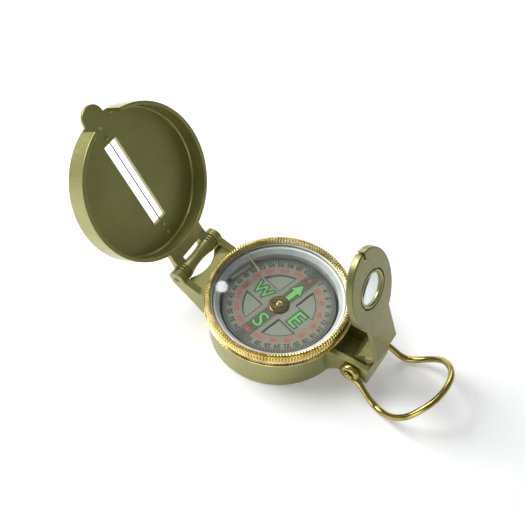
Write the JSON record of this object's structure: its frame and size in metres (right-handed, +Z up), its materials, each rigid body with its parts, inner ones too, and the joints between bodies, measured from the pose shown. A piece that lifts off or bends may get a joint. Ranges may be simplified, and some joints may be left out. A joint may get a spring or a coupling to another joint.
{
  "type": "sighting compass",
  "caption": "Round pocket sighting compass with a slotted hinged lid, knurled turning bezel, floating dial, folding lens bracket and wire thumb loop.",
  "frame": {"origin": "centre of the round case's flat underside", "axes": "+X from the lid hinge towards the eyepiece and thumb loop, +Z up out of the dial, Y along the hinge pins"},
  "size_m": [0.1503, 0.058, 0.0732],
  "materials": {
    "olive_paint": "satin metallic olive-gold paint on a die casting",
    "brass": "turned and lightly lacquered",
    "steel": "drawn",
    "spring_steel": "drawn spring temper",
    "clear_glass": "polished",
    "white_plastic": "fine moulded",
    "dial_print": "printed card",
    "magnet": "ground",
    "rubber": "matt",
    "luminous": "luminous paint",
    "jewel": "polished",
    "hair_line": "drawn wire"
  },
  "bodies": {
    "case": {"case": "olive_paint", "capsule_bowl": "white_plastic", "expansion_diaphragm": "brass", "fill_screw": "steel", "pivot_post": "brass", "pivot_needle": "steel", "capsule_gasket": "rubber", "capsule_lens": "clear_glass", "bezel_spring": "spring_steel", "lid_hinge_pin": "steel", "lid_washers": "brass", "eyepiece_pin": "brass", "eyepiece_washers": "brass"},
    "dial": {"dial_card": "dial_print", "magnet_bar": "magnet", "dial_hub": "brass", "pivot_jewel": "jewel"},
    "bezel": {"bezel_ring": "brass", "crystal_gasket": "rubber", "bezel_crystal": "clear_glass", "marching_line": "luminous", "luminous_bar": "luminous"},
    "lid": {"lid": "olive_paint", "sighting_wire": "hair_line", "wire_pegs": "brass", "lid_dots": "luminous"},
    "eyepiece": {"eyepiece_bracket": "olive_paint", "eyepiece_lens": "clear_glass", "lens_ring": "olive_paint"},
    "loop": {"thumb_loop": "brass"}
  },
  "joints": [
    {"name": "lid_hinge", "type": "hinge", "parent": "case", "child": "lid", "pos_m": [-0.0368, 0, 0.0163], "axis": [0, -1, 0], "range_deg": [-121.6, 0]},
    {"name": "eyepiece_hinge", "type": "hinge", "parent": "case", "child": "eyepiece", "pos_m": [0.0355, 0, 0.0104], "axis": [0, -1, 0], "range_deg": [0, 74.2]},
    {"name": "thumb_loop_hinge", "type": "hinge", "parent": "case", "child": "loop", "pos_m": [0.0355, 0, 0.0104], "axis": [0, -1, 0], "range_deg": [-50, 60]},
    {"name": "bezel_turn", "type": "hinge", "parent": "case", "child": "bezel", "pos_m": [0, 0, 0.015], "axis": [0, 0, 1], "continuous": true},
    {"name": "dial_turn", "type": "hinge", "parent": "case", "child": "dial", "pos_m": [0, 0, 0.014], "axis": [0, 0, 1], "continuous": true}
  ]
}
